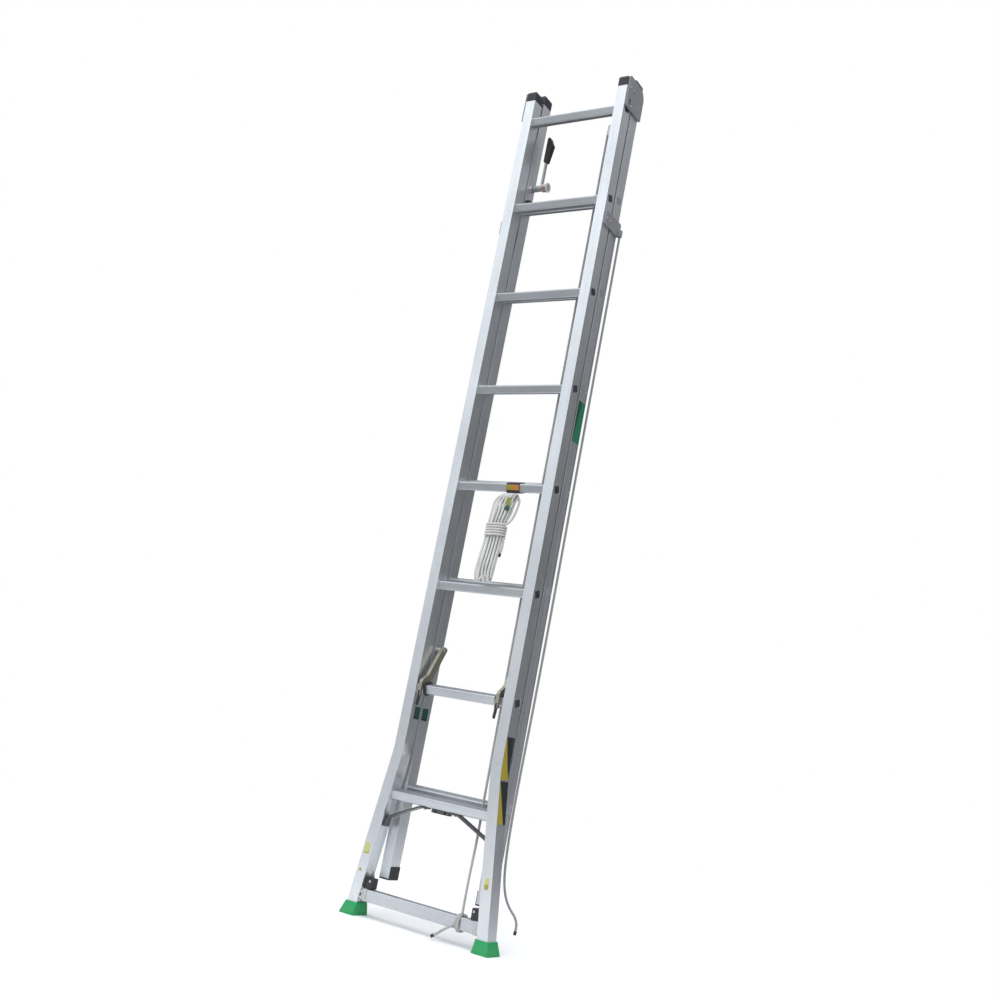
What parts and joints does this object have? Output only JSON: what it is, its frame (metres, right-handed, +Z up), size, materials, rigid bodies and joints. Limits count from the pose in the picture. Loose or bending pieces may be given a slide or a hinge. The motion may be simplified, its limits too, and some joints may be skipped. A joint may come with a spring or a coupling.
{
  "type": "extension ladder",
  "caption": "Two-section aluminium extension ladder with a sliding rear section, flared legs on rubber shoes, rung locks, side pulley and hoisting rope.",
  "frame": {"origin": "Centre of the object's bounding box at floor level, under the shoes, with the rails upright and the cords left out", "axes": "+X to the right as seen by someone about to climb, +Y to the back, towards the sliding section and the wall it leans on, +Z up along the rails"},
  "size_m": [0.5507, 0.1549, 2.815],
  "materials": {
    "aluminium": "satin extruded",
    "black_plastic": "moulded, slightly textured",
    "grey_plastic": "moulded",
    "green_rubber": "matt",
    "plated_steel": "zinc plated, slightly yellow",
    "steel": "plated",
    "white_plastic": "moulded",
    "rope": "twisted synthetic fibre",
    "strap": "woven webbing"
  },
  "bodies": {
    "base": {"bar_bracket_left": "plated_steel", "bar_bracket_right": "plated_steel", "base_cap_left": "black_plastic", "base_cap_right": "black_plastic", "base_rail_left": "aluminium", "base_rail_right": "aluminium", "base_rung_1": "aluminium", "base_rung_2": "aluminium", "base_rung_3": "aluminium", "base_rung_4": "aluminium", "base_rung_5": "aluminium", "base_rung_6": "aluminium", "base_rung_7": "aluminium", "base_rung_8": "aluminium", "base_rung_plugs": "grey_plastic", "bottom_bar": "aluminium", "corner_block_left": "black_plastic", "corner_block_right": "black_plastic", "guide_rivets": "steel", "hank_strap": "strap", "lashing_line": "rope", "mid_guide_left": "grey_plastic", "mid_guide_right": "grey_plastic", "pulley_axle": "steel", "pulley_bracket": "plated_steel", "rope_free_run": "rope", "rope_hank": "rope", "rope_hoist_run": "rope", "rope_tail": "rope", "rung_brace_left": "plated_steel", "rung_brace_right": "plated_steel", "rung_rings": "black_plastic", "shoe_left": "green_rubber", "shoe_right": "green_rubber", "top_guide_left": "grey_plastic", "top_guide_right": "grey_plastic", "under_clip": "plated_steel"},
    "fly": {"fly_cap_left": "black_plastic", "fly_cap_right": "black_plastic", "fly_foot_left": "black_plastic", "fly_foot_right": "black_plastic", "fly_rail_left": "aluminium", "fly_rail_right": "aluminium", "fly_rung_2": "aluminium", "fly_rung_3": "aluminium", "fly_rung_4": "aluminium", "fly_rung_5": "aluminium", "fly_rung_6": "aluminium", "fly_rung_8": "aluminium", "fly_rung_plugs": "grey_plastic", "lever_pivot": "steel", "lock_pin_left": "steel", "lock_pin_right": "steel", "rope_anchor": "plated_steel"},
    "lock_left": {"lock_hook_left": "plated_steel"},
    "lock_right": {"lock_hook_right": "plated_steel"},
    "tongue_left": {"lock_tongue_left": "black_plastic"},
    "tongue_right": {"lock_tongue_right": "black_plastic"},
    "catch_lever": {"lever_arm": "steel", "lever_grip": "black_plastic"},
    "pulley": {"sheave": "white_plastic"}
  },
  "joints": [
    {"name": "fly_slide", "type": "slide", "parent": "base", "child": "fly", "axis": [0, 0, 1], "range_m": [0, 1.65], "deforming": ["rope_hoist_run"]},
    {"name": "lock_left_swing", "type": "hinge", "parent": "fly", "child": "lock_left", "pos_m": [-0.1425, 0.03175, 0.829], "axis": [1, 0, 0], "range_deg": [-40, 0]},
    {"name": "lock_right_swing", "type": "hinge", "parent": "fly", "child": "lock_right", "pos_m": [0.1425, 0.03175, 0.829], "axis": [1, 0, 0], "range_deg": [-40, 0]},
    {"name": "tongue_left_swing", "type": "hinge", "parent": "lock_left", "child": "tongue_left", "pos_m": [-0.1425, -0.05075, 0.682], "axis": [1, 0, 0], "range_deg": [-60, 0]},
    {"name": "tongue_right_swing", "type": "hinge", "parent": "lock_right", "child": "tongue_right", "pos_m": [0.1425, -0.05075, 0.682], "axis": [1, 0, 0], "range_deg": [-60, 0]},
    {"name": "catch_lever_tip", "type": "hinge", "parent": "fly", "child": "catch_lever", "pos_m": [-0.124, 0.03775, 2.458], "axis": [1, 0, 0], "range_deg": [-70, 0]},
    {"name": "sheave_turn", "type": "hinge", "parent": "base", "child": "pulley", "pos_m": [0.139, 0.00375, 2.618], "axis": [0, 1, 0], "continuous": true}
  ],
  "couplings": [
    {"joint": "sheave_turn", "follows": "fly_slide", "rad_per_m": -66.667}
  ]
}
